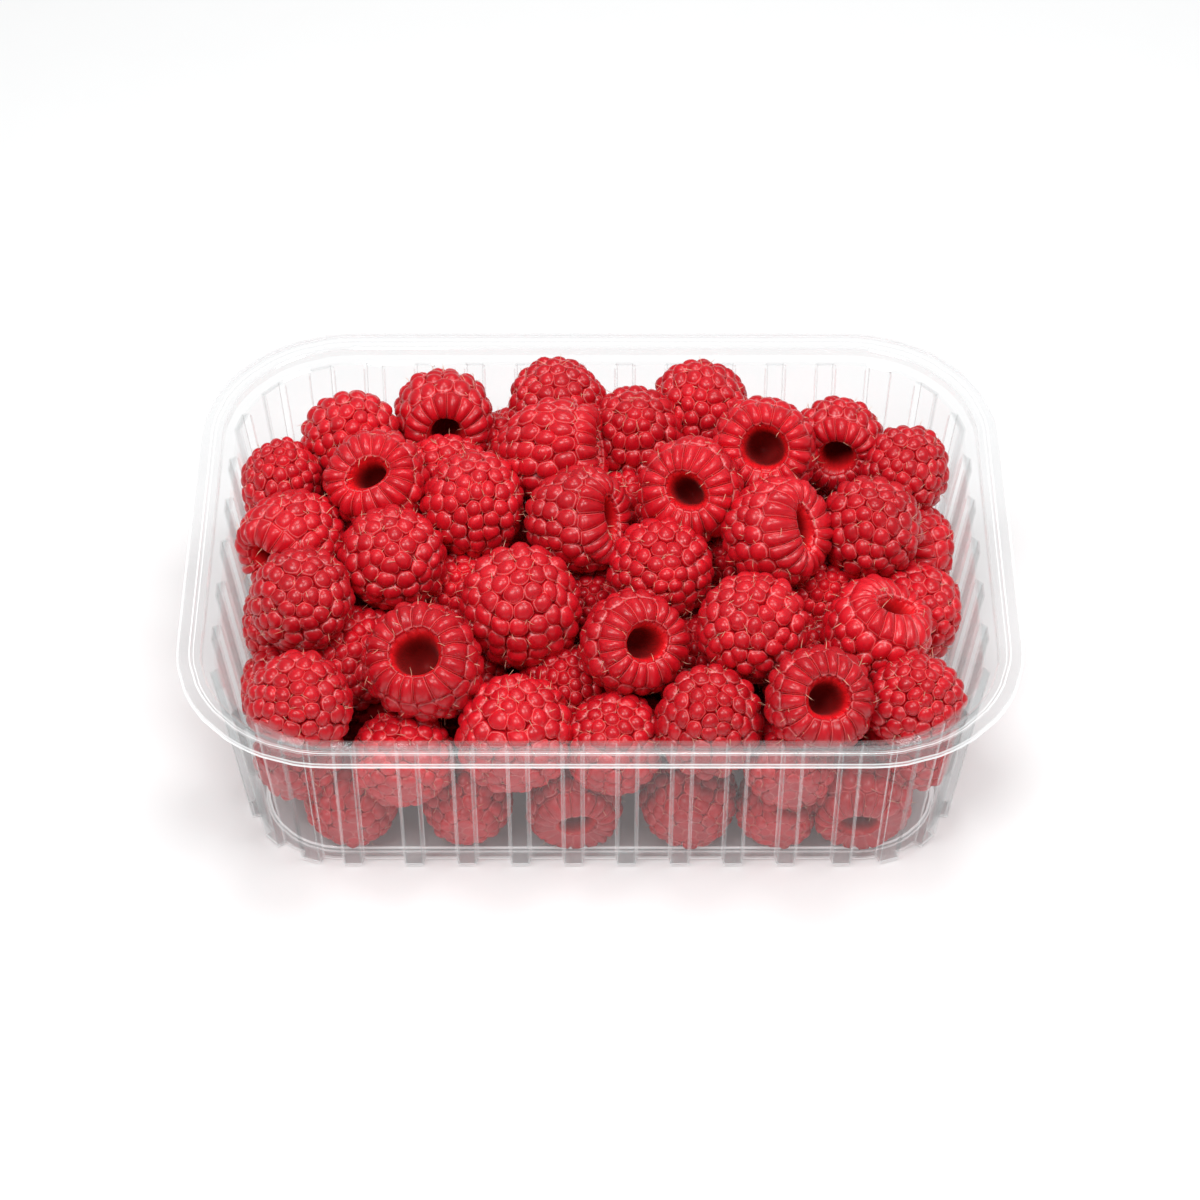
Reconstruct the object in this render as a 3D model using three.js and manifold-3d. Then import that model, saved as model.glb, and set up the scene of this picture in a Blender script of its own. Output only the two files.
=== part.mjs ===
// A clear ribbed fruit punnet with a heap of raspberries in it.
// Millimetres, +Z up. The origin is the middle of the foot of the punnet.
import * as THREE from 'three';
import { mergeVertices } from 'three/addons/utils/BufferGeometryUtils.js';
import Module from 'manifold-3d';

const wasm = await Module();
wasm.setup();

// Driving dimensions of the punnet: every outline is a rounded rectangle about the same
// four corner centres, so a corner radius alone says how far out it lies.
const rimLength = 187;
const rimWidth = 137;
const rimRadius = 35;
const trayHeight = 50;
const plastic = 0.6;
const footRadius = 20.4;
const wallTopRadius = 26.4;
const footChamfer = 0.6;
const ledgeRadius = 29.7;
const ledgeDrop = 2.2;
const skirtHeight = 1.4;
const cornerX = rimLength / 2 - rimRadius;
const cornerY = rimWidth / 2 - rimRadius;
const ledgeHeight = trayHeight - ledgeDrop;
const cornerSteps = 5;

// Ribs: hollow flutes that stand out of the wall.
const fluteDepth = 1.9;
const fluteWidth = 5.2;
const fluteFaceWidth = 3.6;
const fluteRoot = 2;
const frontFlutes = { count: 10, pitch: 12 };
const endFlutes = { count: 5, pitch: 13.4 };
const cornerFluteAngles = [18, 46, 74];

// The heap.
const berryGap = 0.3;
const topBerrySides = 10;
const lowBerrySides = 8;
const floorBerryRadius = 10.6;
const floorBerryHeight = 11.3;
const floorBerryRise = -30;
const floorRows = [
  { y: -22, count: 2, pitch: 136 },
  { y: 0, count: 2, pitch: 136 },
  { y: 22, count: 2, pitch: 136 },
  { y: 42.5, count: 7, pitch: 21.6 },
];

// Outlines of a berry as [radius, height] in berry radii, from its tip to its mouth.
const berrySkin = [[0, 1.05], [0.56, 0.82], [0.95, 0.22], [0.95, -0.46], [0.64, -0.85]];
const berryCup = [[0.42, -0.72], [0.32, -0.15], [0, 0.1]];
const berryBase = [[0, -0.8]];

// Berries whose open end shows: x, y, z, radius, then the way the open end faces,
// as a turn from the front towards +X and a rise above level, in degrees.
const openBerries = [
  [-37, 47, 42, 11.4, 5, 20],
  [-51, 18, 49, 11.6, -20, 55],
  [-70, 3, 45, 11.9, -35, 5],
  [-11, 26, 51, 11.9, 55, 25],
  [-5, 5, 50, 12.3, 50, 30],
  [38, 28, 50, 12.3, 0, 45],
  [56, 37, 44, 10.6, -5, 15],
  [21, 13, 51, 11.7, -10, 45],
  [40, 1, 50, 12.3, 50, 40],
  [73, 15, 30, 10.5, -35, 30],
  [62, -22, 41, 12.1, 90, 65],
  [7, -27, 43, 11.8, 30, 45],
  [48, -45, 44, 11.9, 15, 50],
  [-39, -34, 44, 13.1, -20, 60],
  [-6, -46, 12, 10.4, 5, 15],
  [59, -45, 12, 11.1, -5, 0],
];

// Berries on top of the heap that show their tip or their side, with the way the tip faces.
const topBerries = [
  [-58, 37, 45, 11.3, 30, 50],
  [-74, 24, 43, 9.6, 180, 90],
  [-47, -4, 47, 11.6, 5, 55],
  [-29, 11, 49, 11.9, 10, 60],
  [-36, 30, 45, 10.4, 0, 65],
  [-10, 47, 46, 11.1, 180, 85],
  [-67, -18, 48, 11.2, -5, 50],
  [-18, -17, 45, 13.1, 0, 75],
  [8, 36, 46, 11.3, 0, 70],
  [24, 47, 45, 11.4, 135, 80],
  [71, 26, 45, 10.3, -25, 50],
  [62, 6, 46, 12.1, 10, 55],
  [14, -7, 46, 11.5, 5, 40],
  [34, -25, 46, 12.1, 0, 50],
  [24, -45, 38, 11.7, 0, 65],
  [70, -42, 40, 10.7, 10, 50],
  [-66, -46, 44, 11.3, 5, 50],
];

// Berries under those, and along the front wall, with the way the tip faces.
const lowBerries = [
  [-22, 47, 30, 10.7, -20, 55],
  [-73, -7, 28, 9.9, -30, 55],
  [-32, -1, 33, 9.9, -15, 65],
  [-2, -3, 31, 9.7, 0, 50],
  [7, 19, 37, 10.5, 0, 45],
  [28, 7, 33, 10, 25, 50],
  [51, -2, 31, 9.9, 0, 65],
  [72, -6, 31, 11.3, 30, 40],
  [3, -45, 30, 11.3, -5, 60],
  [-55, -20, 31, 11.1, -25, 50],
  [-72, -25, 25, 10.2, -35, 45],
  [-19, -45, 34, 12.6, -25, 75],
  [-44, -47, 27, 10.9, -10, 50],
  [-8, -28, 29, 10.2, 25, 50],
  [42, -48, 26, 9.8, 5, 30],
  [-68, -43, 24, 10.3, -15, 35],
  [71, -38, 22, 10.1, 35, 30],
  [-71, 14, 28, 10.4, -90, 20],
  [-72, 36, 29, 10.4, -120, 40],
  [71, 38, 29, 10.4, 130, 30],
  [-56, 47, 27, 10.6, 180, 20],
  [7, 47, 28, 10.6, 170, 35],
  [31, 47, 26, 10.6, -160, 10],
  [51, 47, 28, 10.6, 175, 50],
  [21, -20, 30, 10.5, 0, 60],
  [-32, -22, 28, 10.5, 0, 60],
  [45, -20, 29, 10.5, 0, 60],
  [-44, 22, 30, 10.5, 0, 60],
  [-22, 22, 30, 10.5, 0, 60],
  [23, 24, 29, 10.5, 0, 60],
  [44, 22, 30, 10.5, 0, 60],
  [-56, -45, 11, 10.4, -5, -10],
  [-30, -46, 11, 9.7, 5, -5],
  [20, -46, 11, 10.4, 0, -10],
  [40, -47, 10, 9, 0, 0],
];

function radians(degrees) {
  return THREE.MathUtils.degToRad(degrees);
}

// Makes a closed solid of a geometry.
function solidOf(geometry) {
  geometry.deleteAttribute('normal');
  geometry.deleteAttribute('uv');
  const merged = mergeVertices(geometry, 1e-4);
  const mesh = new wasm.Mesh({
    numProp: 3,
    vertProperties: new Float32Array(merged.attributes.position.array),
    triVerts: new Uint32Array(merged.index.array),
  });
  return new wasm.Manifold(mesh);
}

function geometryOf(solid) {
  const mesh = solid.getMesh();
  const geometry = new THREE.BufferGeometry();
  geometry.setAttribute('position', new THREE.BufferAttribute(mesh.vertProperties, 3));
  geometry.setIndex(new THREE.BufferAttribute(mesh.triVerts, 1));
  geometry.computeVertexNormals();
  return geometry;
}

function joined(solids) {
  return solids.reduce((whole, solid) => whole.add(solid));
}

// A rounded rectangle about the corner centres.
function roundedOutline(outline, radius) {
  const corners = [[1, 1, 0], [-1, 1, 90], [-1, -1, 180], [1, -1, 270]];
  for (const [sideX, sideY, start] of corners) {
    outline.absarc(sideX * cornerX, sideY * cornerY, radius, radians(start), radians(start + 90), false);
  }
  outline.closePath();
  return outline;
}

function plate(radius) {
  return roundedOutline(new THREE.Shape(), radius);
}

function ring(outerRadius, innerRadius) {
  const shape = plate(outerRadius);
  shape.holes.push(roundedOutline(new THREE.Path(), innerRadius));
  return shape;
}

// Raises outlines through layers of [height, outward]: at each layer every point is
// moved outward, square to the rounded rectangle that it lies on.
function raised(shapes, layers) {
  const steps = layers.length - 1;
  const geometry = new THREE.ExtrudeGeometry(shapes, {
    steps,
    depth: steps,
    bevelEnabled: false,
    curveSegments: cornerSteps,
  });
  const points = geometry.attributes.position;
  for (let i = 0; i < points.count; i += 1) {
    const [height, outward] = layers[Math.round(points.getZ(i))];
    const point = new THREE.Vector2(points.getX(i), points.getY(i));
    const root = new THREE.Vector2(
      THREE.MathUtils.clamp(point.x, -cornerX, cornerX),
      THREE.MathUtils.clamp(point.y, -cornerY, cornerY),
    );
    const away = point.clone().sub(root);
    point.addScaledVector(away.normalize(), outward);
    points.setXYZ(i, point.x, point.y, height);
  }
  return solidOf(geometry);
}

// Where each flute stands: its root on the rectangle of corner centres, and the angle it faces.
function fluteStations() {
  const stations = [];
  for (const side of [-1, 1]) {
    for (let i = 0; i < frontFlutes.count; i += 1) {
      const x = (i - (frontFlutes.count - 1) / 2) * frontFlutes.pitch;
      stations.push({ x, y: side * cornerY, angle: side * 90 });
    }
    for (let i = 0; i < endFlutes.count; i += 1) {
      const y = (i - (endFlutes.count - 1) / 2) * endFlutes.pitch;
      stations.push({ x: side * cornerX, y, angle: side > 0 ? 0 : 180 });
    }
    for (const fromFront of cornerFluteAngles) {
      stations.push({ x: side * cornerX, y: -cornerY, angle: -90 + side * fromFront });
      stations.push({ x: side * cornerX, y: cornerY, angle: 90 - side * fromFront });
    }
  }
  return stations;
}

// Flute sections about a wall of the given radius; inset makes them narrower and shallower.
function fluteOutlines(wallRadius, inset) {
  return fluteStations().map(({ x, y, angle }) => {
    const outward = new THREE.Vector2(Math.cos(radians(angle)), Math.sin(radians(angle)));
    const along = new THREE.Vector2(-outward.y, outward.x);
    const section = [
      [-fluteWidth / 2 + inset, wallRadius - fluteRoot],
      [fluteWidth / 2 - inset, wallRadius - fluteRoot],
      [fluteWidth / 2 - inset, wallRadius],
      [fluteFaceWidth / 2 - inset, wallRadius + fluteDepth],
      [-fluteFaceWidth / 2 + inset, wallRadius + fluteDepth],
      [-fluteWidth / 2 + inset, wallRadius],
    ];
    return new THREE.Shape(section.map(([across, out]) => new THREE.Vector2(
      x + across * along.x + out * outward.x,
      y + across * along.y + out * outward.y,
    )));
  });
}

// How far out of the foot the wall lies at a height.
function draft(height) {
  return (wallTopRadius - footRadius) * height / ledgeHeight;
}

// A fluted block with drafted sides, set in from the outer face of the wall.
function flutedBlock(inset, layers) {
  const wall = raised(plate(footRadius - inset), layers);
  const flutes = raised(fluteOutlines(footRadius - inset, inset), layers);
  return wall.add(flutes);
}

function rim() {
  const ledge = raised(ring(ledgeRadius, footRadius), [
    [ledgeHeight - plastic, 0],
    [ledgeHeight, 0],
  ]);
  const step = raised(ring(ledgeRadius, ledgeRadius - plastic), [
    [ledgeHeight - plastic, 0],
    [trayHeight, 0],
  ]);
  const flange = raised(ring(rimRadius, ledgeRadius - plastic), [
    [trayHeight - plastic, 0],
    [trayHeight, 0],
  ]);
  const skirt = raised(ring(rimRadius, rimRadius - plastic), [
    [trayHeight - skirtHeight, 0],
    [trayHeight, 0],
  ]);
  return joined([ledge, step, flange, skirt]);
}

function traySolid() {
  const outside = flutedBlock(0, [
    [0, -footChamfer],
    [footChamfer, draft(footChamfer)],
    [ledgeHeight, draft(ledgeHeight)],
  ]);
  const inside = flutedBlock(plastic, [
    [plastic, draft(plastic)],
    [trayHeight + 1, draft(trayHeight + 1)],
  ]);
  return outside.add(rim()).subtract(inside);
}

// The way a berry faces, from its turn and rise.
function facing(turn, rise) {
  const level = Math.cos(radians(rise));
  return new THREE.Vector3(
    level * Math.sin(radians(turn)),
    -level * Math.cos(radians(turn)),
    Math.sin(radians(rise)),
  );
}

// A berry at its place; tipSense is 1 where the tip faces the given way and -1 where the mouth does.
function berrySolid(profile, sides, tipSense, [x, y, z, radius, turn, rise]) {
  const points = profile.map(([r, h]) => new THREE.Vector2(r * radius, h * radius));
  const geometry = new THREE.LatheGeometry(points.reverse(), sides);
  const tip = facing(turn, rise).multiplyScalar(tipSense);
  const pose = new THREE.Quaternion().setFromUnitVectors(new THREE.Vector3(0, 1, 0), tip);
  geometry.applyQuaternion(pose);
  geometry.translate(x, y, z);
  return solidOf(geometry);
}

// Berries on the floor along the back and the ends, each turned another way.
function floorBerries() {
  return floorRows.flatMap(({ y, count, pitch }) => Array.from({ length: count }, (_, i) => {
    const x = (i - (count - 1) / 2) * pitch;
    const turn = x * y;
    return [x, y, floorBerryHeight, floorBerryRadius, turn, floorBerryRise];
  }));
}

// What fills the heap behind the berries that show: a block set in from the wall.
function heapCore() {
  return raised(plate(footRadius), [
    [3, -13],
    [12, -9],
    [24, -8],
    [31, -15],
  ]);
}

function heapSolid() {
  const cupped = [...berrySkin, ...berryCup];
  const plain = [...berrySkin, ...berryBase];
  const berries = [
    ...openBerries.map((row) => berrySolid(cupped, topBerrySides, -1, row)),
    ...topBerries.map((row) => berrySolid(plain, topBerrySides, 1, row)),
    ...[...lowBerries, ...floorBerries()].map((row) => berrySolid(plain, lowBerrySides, 1, row)),
  ];
  const fit = raised(plate(footRadius - plastic - berryGap), [
    [plastic + berryGap, 0],
    [2 * trayHeight, draft(2 * trayHeight)],
  ]);
  return joined([heapCore(), ...berries]).intersect(fit);
}

function clearPlastic() {
  return new THREE.MeshStandardMaterial({ color: 0xeef1f1, roughness: 0.12, metalness: 0 });
}

function berryRed() {
  return new THREE.MeshStandardMaterial({ color: 0xb5172c, roughness: 0.4, metalness: 0 });
}

function named(name, solid, material) {
  const mesh = new THREE.Mesh(geometryOf(solid), material);
  mesh.name = name;
  return mesh;
}

const punnet = new THREE.Group();
punnet.add(named('tray', traySolid(), clearPlastic()));
punnet.add(named('raspberries', heapSolid(), berryRed()));

export default punnet;
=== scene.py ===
import bpy
import bmesh
import math
import random
from mathutils import Matrix, Vector, kdtree, noise


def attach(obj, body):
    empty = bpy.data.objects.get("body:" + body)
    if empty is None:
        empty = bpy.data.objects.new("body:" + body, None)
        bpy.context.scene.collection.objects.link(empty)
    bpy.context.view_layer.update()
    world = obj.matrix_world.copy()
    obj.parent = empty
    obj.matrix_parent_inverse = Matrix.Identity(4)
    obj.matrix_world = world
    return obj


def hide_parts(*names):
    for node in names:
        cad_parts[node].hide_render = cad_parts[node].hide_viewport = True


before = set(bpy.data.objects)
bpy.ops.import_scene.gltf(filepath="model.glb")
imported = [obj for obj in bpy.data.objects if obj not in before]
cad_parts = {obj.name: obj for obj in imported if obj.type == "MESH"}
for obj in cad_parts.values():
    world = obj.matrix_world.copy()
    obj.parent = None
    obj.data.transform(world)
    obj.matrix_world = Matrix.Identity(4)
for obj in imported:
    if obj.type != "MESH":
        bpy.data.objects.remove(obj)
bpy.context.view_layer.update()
mm = 0.001


class Sock:  # a socket that Python's own operators join to others
    def __init__(self, shader, socket):
        self.shader, self.socket = shader, socket

    def math(self, operation, other, flip=False):
        parts = [other, self] if flip else [self, other]
        return self.shader.node("ShaderNodeMath", {"operation": operation}, dict(enumerate(parts)))

    def __add__(self, other):
        return self.math("ADD", other)

    def __radd__(self, other):
        return self.math("ADD", other)

    def __sub__(self, other):
        return self.math("SUBTRACT", other)

    def __rsub__(self, other):
        return self.math("SUBTRACT", other, flip=True)

    def __mul__(self, other):
        return self.math("MULTIPLY", other)

    def __rmul__(self, other):
        return self.math("MULTIPLY", other)

    def __pow__(self, other):
        return self.math("POWER", other)

    def clamped(self):
        return self.shader.node("ShaderNodeClamp", {}, {0: self})

    def smooth(self, low, high):  # 0 at low and 1 at high
        settings = {"interpolation_type": "SMOOTHSTEP"}
        return self.shader.node("ShaderNodeMapRange", settings, {0: self, 1: low, 2: high, 3: 0.0, 4: 1.0})


class Shader:
    def __init__(self, name):
        self.material = bpy.data.materials.new(name)
        self.material.use_nodes = True
        self.tree = self.material.node_tree
        self.tree.nodes.clear()
        self.output = self.tree.nodes.new("ShaderNodeOutputMaterial")

    def node(self, kind, settings=None, inputs=None, out=0):
        made = self.tree.nodes.new(kind)
        for key, value in (settings or {}).items():
            setattr(made, key, value)
        for key, value in (inputs or {}).items():
            if isinstance(value, Sock):
                self.tree.links.new(value.socket, made.inputs[key])
            else:
                made.inputs[key].default_value = value
        return Sock(self, made.outputs[out])

    def attribute(self, name):
        return self.node("ShaderNodeAttribute", {"attribute_name": name}, out="Fac")

    def mixColor(self, factor, first, second):
        settings = {"data_type": "RGBA", "blend_type": "MIX"}
        return self.node("ShaderNodeMix", settings, {0: factor, 6: first, 7: second}, out=2)

    def noise(self, scale, detail=2.0):
        place = self.node("ShaderNodeTexCoord", out="Object")
        return self.node("ShaderNodeTexNoise", {}, {"Vector": place, "Scale": scale, "Detail": detail})

    def bump(self, height, strength, distance):
        values = {"Strength": strength, "Distance": distance, "Height": height}
        return self.node("ShaderNodeBump", {}, values)

    def finish(self, surface):
        self.tree.links.new(surface.socket, self.output.inputs["Surface"])
        return self.material


def newPiece(name, bm, material, node=None, keepEdges=False):
    mesh = bpy.data.meshes.new(name)
    if not keepEdges:
        for face in bm.faces:
            face.smooth = True
    bm.to_mesh(mesh)
    bm.free()
    piece = bpy.data.objects.new(name, mesh)
    bpy.context.scene.collection.objects.link(piece)
    mesh.materials.append(material)
    if node:
        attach(piece, "root")
        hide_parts(node)
    print(name, len(mesh.polygons), "faces")
    return piece


view = {
    "lens": 108.03, "elevation": 46.62, "distance": 0.80406,
    "aim": Vector((0, -0.0202, 0.050)),
}


def addCamera():
    data = bpy.data.cameras.new("camera")
    data.lens = view["lens"]
    data.sensor_width = 36
    camera = bpy.data.objects.new("camera", data)
    rise = math.radians(view["elevation"])
    away = Vector((0, -math.cos(rise), math.sin(rise)))
    camera.location = view["aim"] + away * view["distance"]
    camera.rotation_euler = (math.radians(90) - rise, 0, 0)
    bpy.context.scene.collection.objects.link(camera)
    bpy.context.scene.camera = camera


light = {
    "world": 0.29,
    "lamps": [
        {"at": (-0.26, -0.32, 0.88), "size": 0.36, "power": 4.15},
        {"at": (0.34, -0.18, 0.84), "size": 0.30, "power": 2.7},
        {"at": (0.05, 0.26, 0.88), "size": 0.30, "power": 2.0},
    ],
}
floor = {"color": (0.957, 0.962, 0.963, 1), "glow": 0.03, "grain": 60.0, "grainShade": 0.985, "size": 4}


def addLights():
    world = bpy.data.worlds.new("studio")
    world.use_nodes = True
    background = world.node_tree.nodes["Background"]
    background.inputs[0].default_value = (1, 1, 1, 1)
    background.inputs[1].default_value = light["world"]
    bpy.context.scene.world = world
    bpy.context.scene.view_settings.view_transform = "Standard"
    for lamp in light["lamps"]:
        data = bpy.data.lights.new("softLight", "AREA")
        data.shape = "DISK"
        data.size = lamp["size"]
        data.energy = lamp["power"]
        lampObject = bpy.data.objects.new("softLight", data)
        lampObject.location = lamp["at"]
        aim = Vector((0, 0, 0.03)) - Vector(lamp["at"])
        lampObject.rotation_euler = aim.to_track_quat("-Z", "Y").to_euler()
        bpy.context.scene.collection.objects.link(lampObject)


def addFloor():
    shader = Shader("paleFloor")
    shade = [floor["grainShade"] * part for part in floor["color"][:3]] + [1]
    color = shader.mixColor(shader.noise(floor["grain"]), floor["color"], shade)
    surface = shader.node("ShaderNodeBsdfPrincipled", {}, {
        "Base Color": color, "Roughness": 0.9, "Emission Color": color, "Emission Strength": floor["glow"],
    })
    bm = bmesh.new()
    bmesh.ops.create_grid(bm, x_segments=1, y_segments=1, size=floor["size"])
    ground = newPiece("floor", bm, shader.finish(surface))


# x, y, z and radius in millimetres, then the turn from the front and the rise in degrees.
openBerries = [  # the mouth faces the given way; last, the pattern
    (-37, 47, 42, 11.4, 5, 14, 0), (-51, 18, 49, 11.6, -20, 55, 4), (-70, 3, 45, 11.9, -35, 5, 1),
    (-11, 26, 51, 11.9, 85, 12, 4), (-5, 5, 50, 12.3, 66, 26, 2), (38, 28, 50, 12.3, 0, 45, 3),
    (56, 37, 44, 10.6, -5, 15, 5), (21, 13, 51, 11.7, -10, 45, 7), (40, 1, 50, 12.3, 54, 38, 6),
    (73, 15, 30, 10.5, -35, 30, 1), (62, -22, 41, 12.1, 100, 62, 2), (7, -27, 43, 11.8, 30, 45, 0),
    (48, -45, 44, 11.9, 15, 50, 5), (-39, -34, 44, 13.1, -20, 60, 3), (-6, -46, 12, 10.4, 5, 2, 7),
    (59, -45, 12, 11.1, -5, 0, 1),
]
topBerries = [  # the tip faces the given way
    (-58, 37, 45, 11.3, 30, 50), (-74, 24, 43, 9.6, 180, 90), (-47, -4, 47, 11.6, 5, 55),
    (-29, 11, 49, 11.9, 10, 60), (-36, 28, 40, 10.4, 0, 65), (-10, 47, 46, 11.1, 180, 85),
    (-67, -18, 48, 11.2, -5, 50), (-18, -17, 45, 13.1, 0, 75), (8, 36, 46, 11.3, 0, 70),
    (24, 47, 45, 11.4, 135, 80), (71, 26, 45, 10.3, -25, 50), (62, 6, 46, 12.1, 10, 55),
    (14, -7, 46, 11.5, 5, 40), (34, -25, 46, 12.1, 0, 50), (24, -45, 38, 11.7, 0, 65),
    (70, -42, 40, 10.7, 10, 50), (-66, -46, 44, 11.3, 5, 50),
]
lowBerries = [
    (-22, 47, 30, 10.7, -20, 55), (-73, -7, 28, 9.9, -30, 55), (-32, -1, 33, 9.9, -15, 65),
    (-2, -3, 31, 9.7, 0, 50), (7, 19, 37, 10.5, 0, 45), (28, 7, 33, 10, 25, 50),
    (51, -2, 31, 9.9, 0, 65), (72, -6, 31, 11.3, 30, 40), (3, -45, 30, 11.3, -5, 60),
    (-55, -20, 31, 11.1, -25, 50), (-72, -25, 25, 10.2, -35, 45), (-19, -45, 34, 12.6, -25, 75),
    (-44, -47, 27, 10.9, -10, 50), (-8, -28, 29, 10.2, 25, 50), (42, -48, 26, 9.8, 5, 30),
    (-68, -43, 24, 10.3, -15, 35), (71, -38, 22, 10.1, 35, 30), (-56, -45, 11, 10.4, -5, -10),
    (-30, -46, 11, 9.7, 5, -5), (20, -46, 11, 10.4, 0, -10), (40, -47, 10, 9, 0, 0),
]
underBerries = [
    (-71, 14, 28, 10.4, -90, 20), (-72, 36, 29, 10.4, -120, 40), (71, 38, 29, 10.4, 130, 30),
    (-56, 47, 27, 10.6, 180, 20), (7, 47, 28, 10.6, 170, 35), (31, 47, 26, 10.6, -160, 10),
    (51, 47, 28, 10.6, 175, 50), (21, -20, 30, 10.5, 0, 60), (-32, -22, 28, 10.5, 0, 60),
    (45, -20, 29, 10.5, 0, 60), (-44, 22, 30, 10.5, 0, 60), (-22, 22, 30, 10.5, 0, 60),
    (23, 24, 29, 10.5, 0, 60), (44, 22, 30, 10.5, 0, 60),
]
floorBerry = {"z": 11.3, "radius": 10.6, "rise": -30}
floorRows = [  # y, count, pitch
    (-22, 6, 22.8), (0, 7, 22.6), (22, 6, 22.8), (42.5, 7, 21.6),
]

berry = {
    "rows": [  # degrees from the tip, drupelets in the row, height of their domes
        (0, 1, 0.135), (18, 6, 0.135), (35, 11, 0.14), (52, 14, 0.15), (68, 16, 0.15), (84, 17, 0.15),
        (101, 17, 0.145),
    ],
    "lip": (126, 18, 0.14),
    "cup": [(166, 12), (175, 6), (180, 1)],  # the smooth inside: degrees from the tip, points in the row
    "skin": [  # radius and height every 10 degrees from the tip, over the lip, to the floor of the cup
        (0, 0.92), (0.165, 0.905), (0.325, 0.855), (0.47, 0.775), (0.60, 0.665), (0.71, 0.53),
        (0.80, 0.375), (0.86, 0.205), (0.89, 0.03), (0.895, -0.14), (0.88, -0.31), (0.84, -0.48),
        (0.78, -0.62), (0.68, -0.725), (0.53, -0.765), (0.39, -0.70), (0.32, -0.47), (0.25, -0.05),
        (0, 0.24),
    ],
    "jitter": 2.8,  # of the rows, in degrees
    "sidestep": 0.11,  # of a drupelet along its row, in drupelets
    "heights": (0.85, 1.15), "squeeze": (0.98, 1.05),  # how far domes and berries differ
    "curl": math.radians(84),  # how far round its circle a dome goes
    "pit": -0.25,  # how far a corner between domes sinks, in dome heights
    "round": 0.62,  # 1 for domes that are round, 0 for domes that fill the corners of their cells
    "uneven": 0.06, "unevenScale": 1.4, "noiseSeed": 1,
    "shapes": [  # length and cone of each pattern
        (1.00, 0.00), (1.08, 0.08), (0.94, 0.00), (1.02, 0.05), (1.10, 0.12), (0.97, 0.03),
    ],
    "pinch": [0.12, 0.2, 0.5, 0, 0.3, 0.1, 0.55, 0.25],  # how far the first patterns' mouths are shut
    "pinchFrom": (105, 40),  # degrees from the tip where it starts, and over how many it grows
    "cupFrom": (144, 30),  # the same for the depth of the cup
    "hairs": 80,
}
seam = {  # how deep the borders lie: between lips, under them, between them at the mouth, and at the mouth
    "lips": 0.98, "lipFoot": 0.97, "notch": 1.08, "mouth": 0.95,
}
press = {  # the inside of the tray, in millimetres
    "cornerX": 58.5, "cornerY": 33.5, "foot": 20.4, "draft": 6.0 / 47.8, "gap": 0.95,
    "reach": 1.15,  # how far from its middle a berry may touch the tray, in radii
    "ways": [
        (1, 0, 0), (-1, 0, 0), (0, 1, 0), (0, -1, 0), (0, 0, -1),
        (0.7, 0.7, 0), (-0.7, 0.7, 0), (0.7, -0.7, 0), (-0.7, -0.7, 0),
    ],
}
hair = {"length": (0.10, 0.26), "width": 0.0066, "bends": 2, "lean": 0.6, "bow": 0.5}  # in berry radii


def facing(turn, rise):
    turn, rise = math.radians(turn), math.radians(rise)
    return Vector((math.cos(rise) * math.sin(turn), -math.cos(rise) * math.cos(turn), math.sin(rise)))


def curvePoint(points, place):  # a smooth curve through evenly spaced points
    i = max(0, min(int(place), len(points) - 2))
    t = place - i
    a, b, c, d = (Vector(points[max(0, min(len(points) - 1, i + k))]) for k in (-1, 0, 1, 2))
    if i == 0:
        a = Vector((-c.x, c.y))
    if i == len(points) - 2:
        d = Vector((-b.x, b.y))
    return 0.5 * (2 * b + (c - a) * t + (2 * a - 5 * b + 4 * c - d) * t ** 2 + (3 * b - a - 3 * c + d) * t ** 3)


def skinPoint(direction):  # the place and the outward normal on the skin under the domes
    place = math.degrees(direction.angle(Vector((0, 0, 1)))) / 10
    spot = curvePoint(berry["skin"], place)
    along = curvePoint(berry["skin"], place + 0.05) - curvePoint(berry["skin"], place - 0.05)
    along.normalize()
    flat = Vector((direction.x, direction.y, 0))
    radial = flat.normalized() if flat.length > 1e-6 else Vector((0, 0, 0))
    return radial * spot.x + Vector((0, 0, spot.y)), radial * -along.y + Vector((0, 0, along.x))


def drupeletCentres(rng):  # each with the height of its dome, and whether it is round, long or flat
    cells = []
    rows = [(*row, "round") for row in berry["rows"]] + [(*berry["lip"], "long")]
    rows += [(angle, count, 0, "flat") for angle, count in berry["cup"]]
    step = berry["sidestep"]
    for angle, count, height, kind in rows:
        start = rng.uniform(0, 2 * math.pi)
        wobble = berry["jitter"] if kind == "round" and count > 1 else 0
        for i in range(count):
            polar = math.radians(angle + rng.uniform(-wobble, wobble))
            around = start + 2 * math.pi * (i + rng.uniform(-step, step)) / count
            centre = Vector((math.sin(polar) * math.cos(around), math.sin(polar) * math.sin(around),
                             math.cos(polar)))
            cells.append((centre, height * rng.uniform(*berry["heights"]), kind))
    return cells


def makeCells(centres, cuts):  # one cell round each centre; border is 0 at its centre and 1 at its edge
    bm = bmesh.new()
    for centre in centres:
        bm.verts.new(centre)
    bmesh.ops.convex_hull(bm, input=bm.verts)
    bmesh.ops.recalc_face_normals(bm, faces=bm.faces)
    border = bm.verts.layers.float.new("border")
    hullEdges = bm.edges[:]
    corners = bmesh.ops.poke(bm, faces=bm.faces[:])["verts"]
    places = []
    for corner in corners:
        first, second, third = [edge.other_vert(corner).co for edge in corner.link_edges]
        normal = (second - first).cross(third - first).normalized()
        places.append(normal if normal.dot(first) > 0 else -normal)
    bmesh.ops.rotate_edges(bm, edges=hullEdges)
    for corner, place in zip(corners, places):
        corner[border] = 1
        corner.co = place
    bmesh.ops.subdivide_edges(bm, edges=bm.edges[:], cuts=cuts, use_grid_fill=True)
    for edge in bm.edges:
        edge.smooth = not all(vert[border] > 0.999 for vert in edge.verts)
    return bm


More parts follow.
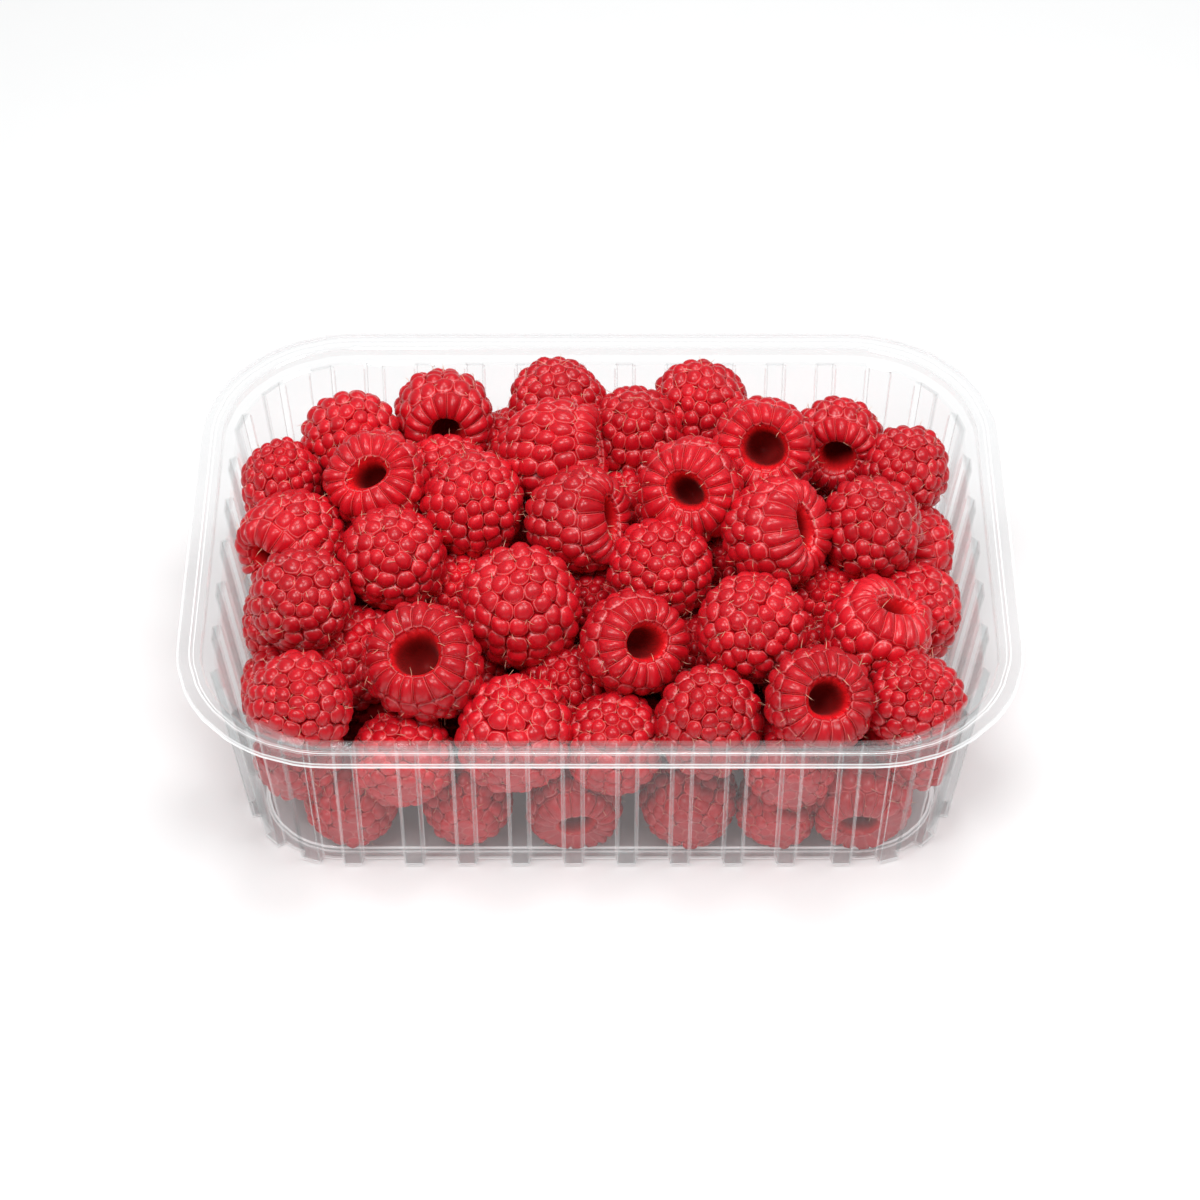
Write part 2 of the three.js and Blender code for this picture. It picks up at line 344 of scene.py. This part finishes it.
def seamReach(kinds, reach):  # for a point on a border, from the kinds of the three nearest cells
    near = set(kinds[:2])
    if near == {"long"}:
        return seam["lips"]
    if near == {"round", "long"}:
        return seam["lipFoot"]
    if near <= {"long", "flat"}:
        return seam["notch"] if kinds.count("long") == 2 else seam["mouth"]
    return reach


def climb(value, start, span):  # 0 up to the start and 1 from the end of the span
    return max(0, min(1, (value - start) / span))


def domeLift(reach):  # height of a dome at a share of its radius
    if reach < 1:
        low = math.cos(berry["curl"])
        return (math.sqrt(1 - (reach * math.sin(berry["curl"])) ** 2) - low) / (1 - low)
    return berry["pit"] * min(1, (reach - 1) / 0.12)


def makeBerry(seed, cuts):  # a berry of radius 1 with its tip up, and its hairs
    rng = random.Random(seed)
    length, cone = berry["shapes"][seed % len(berry["shapes"])]
    pinch = berry["pinch"][seed] if seed < len(berry["pinch"]) else 0
    cells = drupeletCentres(rng)
    bm = makeCells([centre for centre, height, kind in cells], cuts)
    border = bm.verts.layers.float["border"]
    tone = bm.verts.layers.float.new("tone")
    depth = bm.verts.layers.float.new("depth")
    tree = kdtree.KDTree(len(cells))
    for i, (centre, height, kind) in enumerate(cells):
        tree.insert(centre, i)
    tree.balance()
    owners = {vert: [i for _, i, _ in tree.find_n(vert.co.normalized(), 3)] for vert in bm.verts}
    edges = [[] for _ in cells]  # how far away the border of each cell is
    for vert in bm.verts:
        if vert[border] > 0.3:
            owner = owners[vert][0]
            edges[owner].append((vert.co - cells[owner][0]).length / vert[border])
    tones = [rng.random() for _ in cells]
    curl = berry["curl"]
    shift = Vector((rng.uniform(0, 50), 0, 0))
    for vert in bm.verts:
        share = vert[border]
        owner = owners[vert][0]
        centre, height, kind = cells[owner]
        reach = share
        if 0.001 < share:
            away = (vert.co - centre) * math.sin(share * curl) / math.sin(curl) / share
            vert.co = centre + away
            reach = math.sin(share * curl) / math.sin(curl)
            if kind == "round":
                circle = away.length * len(edges[owner]) / sum(edges[owner])
                reach += (circle - reach) * berry["round"]
        direction = vert.co.normalized()
        kinds = [cells[i][2] for i in owners[vert]]
        onBorder = share > 0.999
        if onBorder:
            reach = seamReach(kinds, reach)
        if kind == "flat" or (onBorder and kinds[:2].count("flat") == 2):
            height = 0
            reach = 0
        spot, normal = skinPoint(direction)
        spot += normal * domeLift(reach) * height
        slim = 1 - cone * max(0, spot.z) ** 1.5
        polar = math.degrees(math.acos(direction.z))
        shut = 1 - pinch * climb(polar, *berry["pinchFrom"]) ** 2
        spot = Vector((spot.x * slim * shut, spot.y * slim, spot.z * length))
        vert.co = spot + noise.noise_vector(spot * berry["unevenScale"] + shift) * berry["uneven"]
        vert[border] = min(1.2, reach)
        vert[tone] = tones[owner]
        vert[depth] = climb(polar, *berry["cupFrom"])
    for face in bm.faces:
        face.smooth = True
    bmesh.ops.recalc_face_normals(bm, faces=bm.faces)
    skin = bpy.data.meshes.new("skinPattern")
    bm.to_mesh(skin)
    roots = [vert for vert in bm.verts if vert[border] > 0.6 and vert[depth] < 0.2]
    hairs = makeHairs([(vert.co, vert.normal) for vert in rng.sample(roots, berry["hairs"])], rng)
    bm.free()
    return skin, hairs


def makeHairs(roots, rng):  # the dry threads that stand between the drupelets
    bm = bmesh.new()
    for root, normal in roots:
        length = rng.uniform(*hair["length"])
        sway = Vector([rng.uniform(-1, 1) for _ in range(3)])
        lean = (normal + hair["lean"] * sway).normalized()
        ring = bmesh.ops.create_circle(bm, segments=3, radius=hair["width"])["verts"]
        bmesh.ops.rotate(bm, verts=ring, matrix=lean.to_track_quat("Z", "Y").to_matrix())
        bmesh.ops.translate(bm, verts=ring, vec=root)
        edges = list(dict.fromkeys(edge for vert in ring for edge in vert.link_edges))
        for bend in range(hair["bends"]):
            grown = bmesh.ops.extrude_edge_only(bm, edges=edges)["geom"]
            ring = [item for item in grown if isinstance(item, bmesh.types.BMVert)]
            edges = [item for item in grown if isinstance(item, bmesh.types.BMEdge)
                     and all(vert in ring for vert in item.verts)]
            lean = (lean + hair["bow"] * sway).normalized()
            bmesh.ops.translate(bm, verts=ring, vec=lean * length / hair["bends"])
        bmesh.ops.pointmerge(bm, verts=ring, merge_co=sum((vert.co for vert in ring), Vector()) / 3)
    mesh = bpy.data.meshes.new("hairPattern")
    for face in bm.faces:
        face.smooth = True
    bm.to_mesh(mesh)
    bm.free()
    return mesh


def pressIn(place):  # keeps a point off the wall and the floor of the tray
    x, y, z = place / mm
    z = max(z, press["gap"])
    root = Vector((max(-press["cornerX"], min(press["cornerX"], x)),
                   max(-press["cornerY"], min(press["cornerY"], y))))
    away = Vector((x, y)) - root
    limit = press["foot"] + press["draft"] * z - press["gap"]
    if away.length > limit:
        away *= limit / away.length
    return Vector((root.x + away.x, root.y + away.y, z)) * mm


def addCopy(bm, pattern, pose, pressed, ripeness=None):
    mesh = pattern.copy()
    mesh.transform(pose)
    if ripeness is not None:
        layer = mesh.attributes.new("ripe", "FLOAT", "POINT")
        layer.data.foreach_set("value", [ripeness] * len(mesh.vertices))
    if pressed:
        for vert in mesh.vertices:
            vert.co = pressIn(vert.co)
    bm.from_mesh(mesh)
    bpy.data.meshes.remove(mesh)


def addBerries(name, rows, tipSense, patterns, material, hairBm, seed):
    rng = random.Random(seed)
    bm = bmesh.new()
    for x, y, z, radius, turn, rise, *chosen in rows:
        skin, hairs = patterns[chosen[0]] if chosen else rng.choice(patterns)
        tip = facing(turn, rise) * tipSense
        squeeze = Vector([radius * rng.uniform(*berry["squeeze"]) * mm for _ in range(3)])
        centre = Vector((x, y, z)) * mm
        pose = (Matrix.Translation(centre) @ tip.to_track_quat("Z", "Y").to_matrix().to_4x4()
                @ Matrix.Diagonal(squeeze).to_4x4() @ Matrix.Rotation(rng.uniform(0, 2 * math.pi), 4, "Z"))
        probes = [centre + Vector(way) * radius * press["reach"] * mm for way in press["ways"]]
        pressed = any((probe - pressIn(probe)).length > 1e-6 for probe in probes)
        addCopy(bm, skin, pose, pressed, rng.random())
        addCopy(hairBm, hairs, pose, pressed)
    newPiece(name, bm, material, "raspberries", keepEdges=True)


# The crease, hollow and core colours are painted shade; the edge colour is a painted sheen.
berryColor = {
    "ripe": (0.44, 0.0015, 0.008, 1), "bright": (0.74, 0.008, 0.020, 1), "edge": (0.95, 0.36, 0.36, 1),
    "creaseShade": (0.22, 0.0, 0.002, 1), "lip": (0.78, 0.008, 0.014, 1), "hollow": (0.26, 0.0, 0.0, 1),
    "core": (0.16, 0.0, 0.003, 1), "hair": (0.95, 0.66, 0.48, 1), "dryHair": (0.80, 0.34, 0.20, 1),
}


def berryMaterial(name):
    shader = Shader(name)
    border = shader.attribute("border")
    tone = shader.attribute("tone")
    ripe = shader.attribute("ripe")
    depth = shader.attribute("depth")
    mottle = shader.noise(450.0, 2.0)
    shift = (tone * 0.45 + ripe * 0.55 + mottle * 0.6 - 0.3).clamped()
    color = shader.mixColor(shift, berryColor["ripe"], berryColor["bright"])
    # Inside the cup: the lip red first, then painted shade that darkens it deeper down.
    color = shader.mixColor(depth.smooth(0.0, 0.25), color, berryColor["lip"])
    color = shader.mixColor(depth.smooth(0.15, 0.75), color, berryColor["hollow"])
    # Painted sheen: a pale pink ring round the base of each dome, outside the cup, for the fuzz that catches
    # the light.
    ring = border.smooth(0.83, 0.87) * (1 - border.smooth(0.89, 0.94)) * (1 - depth.smooth(0.0, 0.2))
    color = shader.mixColor(ring * 0.38, color, berryColor["edge"])
    # Painted shade: the borders and corners between domes darken towards the crease colour.
    color = shader.mixColor(border.smooth(0.93, 1.03) * 0.7, color, berryColor["creaseShade"])
    pores = shader.noise(2600.0, 1.0)
    bump = shader.bump(pores, 0.12, 0.2 * mm)
    surface = shader.node("ShaderNodeBsdfPrincipled", {"subsurface_method": "BURLEY"}, {
        "Base Color": color, "Roughness": 0.25 + 0.14 * mottle + 0.4 * depth, "Normal": bump,
        "Subsurface Weight": 0.35, "Subsurface Radius": (1.0, 0.08, 0.05), "Subsurface Scale": 0.0016,
        "Specular IOR Level": 0.5, "Sheen Weight": 0.03, "Sheen Roughness": 0.4,
        "Sheen Tint": (1.0, 0.62, 0.60, 1),
    })
    return shader.finish(surface)


def hairMaterial():
    shader = Shader("berryHair")
    fade = shader.noise(900.0)
    color = shader.mixColor(fade, berryColor["hair"], berryColor["dryHair"])
    surface = shader.node("ShaderNodeBsdfPrincipled", {}, {"Base Color": color, "Roughness": 0.55})
    return shader.finish(surface)


def coreMaterial():
    shader = Shader("heapCore")
    mottle = shader.noise(220.0, 3.0)
    # Painted shade: the core is dark red, mottled with the crease colour, as the shaded inside of the heap.
    color = shader.mixColor(mottle, berryColor["core"], berryColor["creaseShade"])
    bump = shader.bump(mottle, 0.6, 2 * mm)
    surface = shader.node("ShaderNodeBsdfPrincipled", {}, {
        "Base Color": color, "Roughness": 0.8, "Normal": bump, "Specular IOR Level": 0.1,
    })
    return shader.finish(surface)


core = {"seed": 3, "size": (121, 66, 20), "middle": (0, 0, 14.5), "bevel": 8, "bump": 2.0}


def addCore():  # what fills the heap where no berry can be seen
    rng = random.Random(core["seed"])
    bm = bmesh.new()
    bmesh.ops.create_cube(bm, size=1)
    bmesh.ops.scale(bm, verts=bm.verts, vec=Vector(core["size"]) * mm)
    bmesh.ops.translate(bm, verts=bm.verts, vec=Vector(core["middle"]) * mm)
    bmesh.ops.bevel(bm, geom=bm.edges[:], offset=core["bevel"] * mm, offset_type="OFFSET", segments=3,
                    profile=0.5, affect="EDGES", material=-1)
    bmesh.ops.subdivide_edges(bm, edges=bm.edges, cuts=3, use_grid_fill=True)
    for vert in bm.verts:
        vert.co += vert.normal * rng.uniform(-1, 1) * core["bump"] * mm
    bmesh.ops.recalc_face_normals(bm, faces=bm.faces)
    newPiece("heapCore", bm, coreMaterial(), "raspberries")


def addHeap():
    noise.seed_set(berry["noiseSeed"])  # it would come from the clock
    # patterns with fewer faces for the berries that show less
    fine = [makeBerry(seed, 3) for seed in range(8)]
    plain = [makeBerry(seed, 2) for seed in range(8, 14)]
    coarse = [makeBerry(seed, 1) for seed in range(14, 20)]
    skin = berryMaterial("raspberrySkin")
    hairBm = bmesh.new()
    floorBerries = []
    for y, count, pitch in floorRows:
        places = [(i - (count - 1) / 2) * pitch for i in range(count)]
        z, radius, rise = floorBerry["z"], floorBerry["radius"], floorBerry["rise"]
        floorBerries += [(x, y, z, radius, x * y, rise) for x in places]
    addBerries("openBerries", openBerries, -1, fine, skin, hairBm, 11)
    addBerries("topBerries", topBerries, 1, fine, skin, hairBm, 12)
    addBerries("lowBerries", lowBerries, 1, plain, skin, hairBm, 13)
    addBerries("underBerries", underBerries + floorBerries, 1, coarse, skin, hairBm, 14)
    newPiece("berryHairs", hairBm, hairMaterial(), "raspberries", keepEdges=True)
    addCore()


tray = {
    "cornerX": 58.5, "cornerY": 33.5, "foot": 20.4,
    "fluteWidth": 5.0, "faceWidth": 4.1,  # at the wall and at the face
    "front": [-55.8] + [-42 + 12 * i for i in range(8)] + [54.6],
    "back": [-54 + 12 * i for i in range(10)],
    "end": [-26.8, -13.4, 0, 13.4, 26.8],
    "corner": (18, 46, 74),  # degrees from the front or the back
    "arcStep": 4.5,
    "loops": [  # how far out of the corner centres wall and flutes lie, height, and how strong the painted edge glint on the strip is
        (34.58, 34.58, 48.55, 0), (34.58, 34.58, 48.69, 0.8), (34.58, 34.58, 49.3, 0.06),
        (34.47, 34.47, 49.42, 0.6), (34.3, 34.3, 49.58, 0.06), (32.3, 32.3, 49.58, 0.05),
        (32.18, 32.18, 49.56, 0.75), (31.85, 31.85, 49.2, 0.06), (31.35, 31.35, 49.2, 0.04),
        (31.22, 31.22, 49.2, 0.7), (29.9, 29.9, 49.2, 0.04), (29.75, 29.75, 49.1, 0.3),
        (29.5, 29.5, 47.4, 0.05), (26.9, 26.9, 47.4, 0), (26.4, 26.4, 47.1, 0.06), (26.25, 28.1, 46.2, 0),
        (20.9, 22.8, 0.9, 0), (20.83, 22.73, 0.7, 0.9), (20.2, 22.1, 0.08, 0.12),
        (20.05, 21.92, 0.08, 0.8), (18.4, 18.4, 0.08, 0.14),
        (18.1, 18.1, 0.13, 0.8), (17.75, 17.75, 0.55, 0), (17.45, 17.45, 0.75, 0.8),
    ],
    "fluteGlint": 0.3,
    "bevel": 0.12, "sheet": 0.42, "merge": 0.01,
    "upright": (math.radians(40), 10),  # what is bevelled: sharper and taller than this
    "sharp": math.radians(28), "flatWeight": 90,
}


def loopStations():  # round the tray from the front: root, angle and whether on a flute's face
    half = {0: tray["fluteWidth"] / 2, 1: tray["faceWidth"] / 2}
    turnOf = {side: math.degrees(half[side] / tray["foot"]) for side in half}
    stations = []
    sides = [(-90, (1, -1), tray["front"]), (0, (1, 1), tray["end"]),
             (90, (-1, 1), tray["back"]), (180, (-1, -1), tray["end"])]
    for angle, (sideX, sideY), offsets in sides:
        across = Vector((-math.sin(math.radians(angle)), math.cos(math.radians(angle))))
        corner = Vector((sideX * tray["cornerX"], sideY * tray["cornerY"]))
        middle = corner - across * corner.dot(across)
        for offset in offsets:
            for shift, face in ((-half[0], 0), (-half[1], 1), (half[1], 1), (half[0], 0)):
                stations.append((middle + across * (offset + shift), angle, face))
        turns = tray["corner"] if angle in (0, 180) else [90 - turn for turn in reversed(tray["corner"])]
        turns = [90 - turn for turn in reversed(turns)]
        last = 0
        for turn in turns:
            gap = turn - turnOf[0] - last
            steps = max(1, round(gap / tray["arcStep"]))
            stations += [(corner, angle + last + gap * k / steps, 0) for k in range(steps)]
            stations.append((corner, angle + turn - turnOf[0], 0))
            stations.append((corner, angle + turn - turnOf[1], 1))
            stations.append((corner, angle + turn + turnOf[1], 1))
            last = turn + turnOf[0]
        steps = max(1, round((90 - last) / tray["arcStep"]))
        stations += [(corner, angle + last + (90 - last) * k / steps, 0) for k in range(steps + 1)]
    return stations


def stationPoint(station, loop):
    root, angle, face = station
    out = loop[1] if face else loop[0]
    angle = math.radians(angle)
    return Vector((root.x + out * math.cos(angle), root.y + out * math.sin(angle), loop[2])) * mm


def trayMaterial():
    shader = Shader("clearPlastic")
    paintedEdgeGlint = shader.attribute("paintedEdgeGlint")
    away = shader.node("ShaderNodeLayerWeight", {}, {"Blend": 0.5}, out=1)
    smear = shader.noise(28.0, 3.0)
    wave = shader.bump(smear, 0.06, 2 * mm)
    # Painted highlight: the glint strips are made more opaque and pale, for the light that the sheet's edges
    # reflect and bend.
    cover = (0.04 + 0.4 * away ** 5 + 0.8 * paintedEdgeGlint).clamped()
    # painted glow: a faint emission over the whole sheet, white on the glint strips, standing in for the light
    # that a thin sheet carries to its edges
    glow = shader.mixColor(paintedEdgeGlint.smooth(0.1, 0.8), (0.3, 0.305, 0.305, 1), (1, 1, 1, 1))
    clear = shader.node("ShaderNodeBsdfTransparent", {}, {"Color": (0.967, 0.97, 0.971, 1)})
    gloss = shader.node("ShaderNodeBsdfPrincipled", {}, {
        "Base Color": (0.94, 0.945, 0.95, 1), "Metallic": 0.55 * (1 - paintedEdgeGlint.smooth(0.1, 0.8)),
        "Roughness": 0.05 + 0.04 * smear,
        "Normal": wave, "Specular IOR Level": 0.8, "Emission Color": glow, "Emission Strength": 0.3,
    })
    return shader.finish(shader.node("ShaderNodeMixShader", {}, {0: cover, 1: clear, 2: gloss}))


def addTray():
    stations = loopStations()
    loops = tray["loops"]
    bm = bmesh.new()
    paintedEdgeGlint = bm.faces.layers.float.new("paintedEdgeGlint")
    ring = bmesh.ops.create_circle(bm, segments=len(stations), radius=1)["verts"]
    edges = bm.edges[:]
    order = {vert: i for i, vert in enumerate(ring)}
    for vert, i in order.items():
        vert.co = stationPoint(stations[i], loops[0])
    for loop in loops[1:]:
        grown = bmesh.ops.extrude_edge_only(bm, edges=edges)["geom"]
        verts = [item for item in grown if isinstance(item, bmesh.types.BMVert)]
        edges = [item for item in grown if isinstance(item, bmesh.types.BMEdge)
                 and item.verts[0] not in order and item.verts[1] not in order]
        under = {vert: next(edge.other_vert(vert) for edge in vert.link_edges if edge.other_vert(vert) in order)
                 for vert in verts}
        order = {vert: order[below] for vert, below in under.items()}
        for vert, i in order.items():
            vert.co = stationPoint(stations[i], loop)
        for face in {face for edge in edges for face in edge.link_faces}:
            face[paintedEdgeGlint] = loop[3]
    for face in bmesh.ops.contextual_create(bm, geom=edges)["faces"]:
        face[paintedEdgeGlint] = 0
    bmesh.ops.remove_doubles(bm, verts=bm.verts, dist=tray["merge"] * mm)
    bmesh.ops.recalc_face_normals(bm, faces=bm.faces)
    if min(bm.faces, key=lambda face: face.calc_center_median().z).normal.z < 0:
        bmesh.ops.reverse_faces(bm, faces=bm.faces)
    turn, rise = tray["upright"]
    upright = [edge for edge in bm.edges if edge.is_manifold and edge.calc_face_angle() > turn
               and abs(edge.verts[0].co.z - edge.verts[1].co.z) > rise * mm]
    rounded = bmesh.ops.bevel(bm, geom=upright, offset=tray["bevel"] * mm, offset_type="OFFSET", segments=2,
                              profile=0.5, affect="EDGES", clamp_overlap=False, material=-1)
    # Painted highlight: the rounded flute edges get a faint glint.
    for face in rounded["faces"]:
        face[paintedEdgeGlint] = tray["fluteGlint"]
    for edge in bm.edges:
        edge.smooth = edge.is_manifold and edge.calc_face_angle() < tray["sharp"]
    for face in bm.faces:
        face.smooth = True
    piece = newPiece("clearTray", bm, trayMaterial(), "tray", keepEdges=True)
    wall = piece.modifiers.new("sheet", "SOLIDIFY")
    wall.thickness = tray["sheet"] * mm
    wall.offset = 1  # inwards and upwards, from the foot
    flatten = piece.modifiers.new("flatten", "WEIGHTED_NORMAL")  # keeps the broad faces flat
    flatten.weight = tray["flatWeight"]
    flatten.keep_sharp = True


addCamera()
addLights()
addFloor()
addHeap()
addTray()
